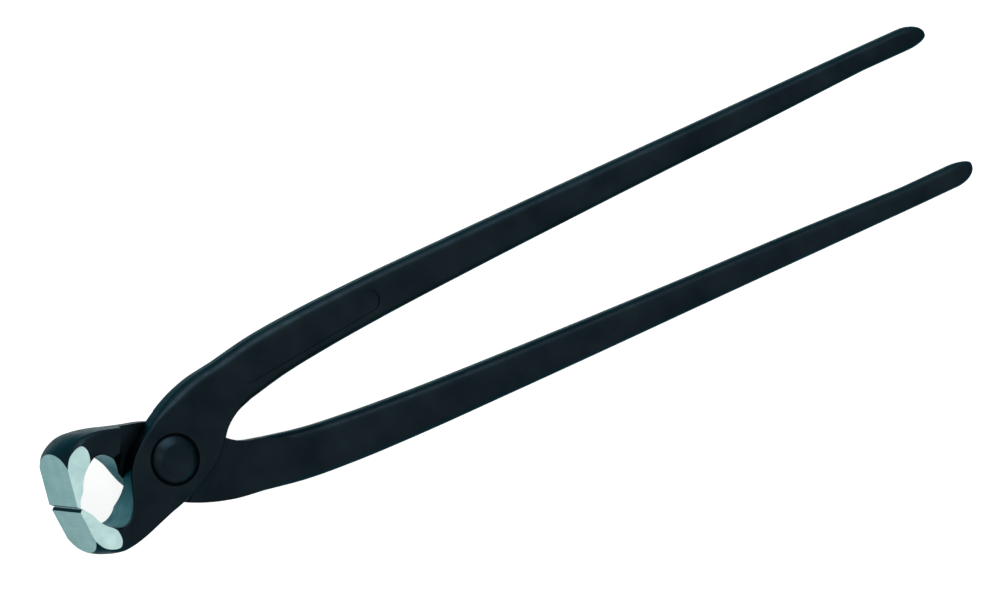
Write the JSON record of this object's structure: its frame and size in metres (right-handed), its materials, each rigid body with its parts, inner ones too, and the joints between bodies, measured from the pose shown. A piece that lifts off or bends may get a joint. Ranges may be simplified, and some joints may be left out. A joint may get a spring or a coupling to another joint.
{
  "type": "rebar tying pliers",
  "caption": "Concreters' nippers for twisting and cutting rebar tie wire: long slim handles, a riveted lap joint and a wide square-nosed end-cutting head",
  "frame": {"origin": "on the rivet's axis, at the flat top of its front head", "axes": "+X runs back along the tool from the jaws to the handles, +Y is the side of the front half's handle, +Z is the rivet's axis, out of the front face"},
  "size_m": [0.2806, 0.0468, 0.0209],
  "materials": {
    "black_oxide_steel": "forged tool steel with a satin black oxide, bare and ground bright on the faces and flanks of the jaws",
    "black_rivet_steel": "turned steel rivet with a satin black oxide"
  },
  "bodies": {
    "front": {"front_half": "black_oxide_steel", "pivot_rivet": "black_rivet_steel"},
    "rear": {"rear_half": "black_oxide_steel"}
  },
  "joints": [
    {"name": "pivot", "type": "hinge", "parent": "front", "child": "rear", "pos_m": [0, 0, -0.00855], "axis": [0, 0, -1], "range_deg": [0, 26]}
  ]
}
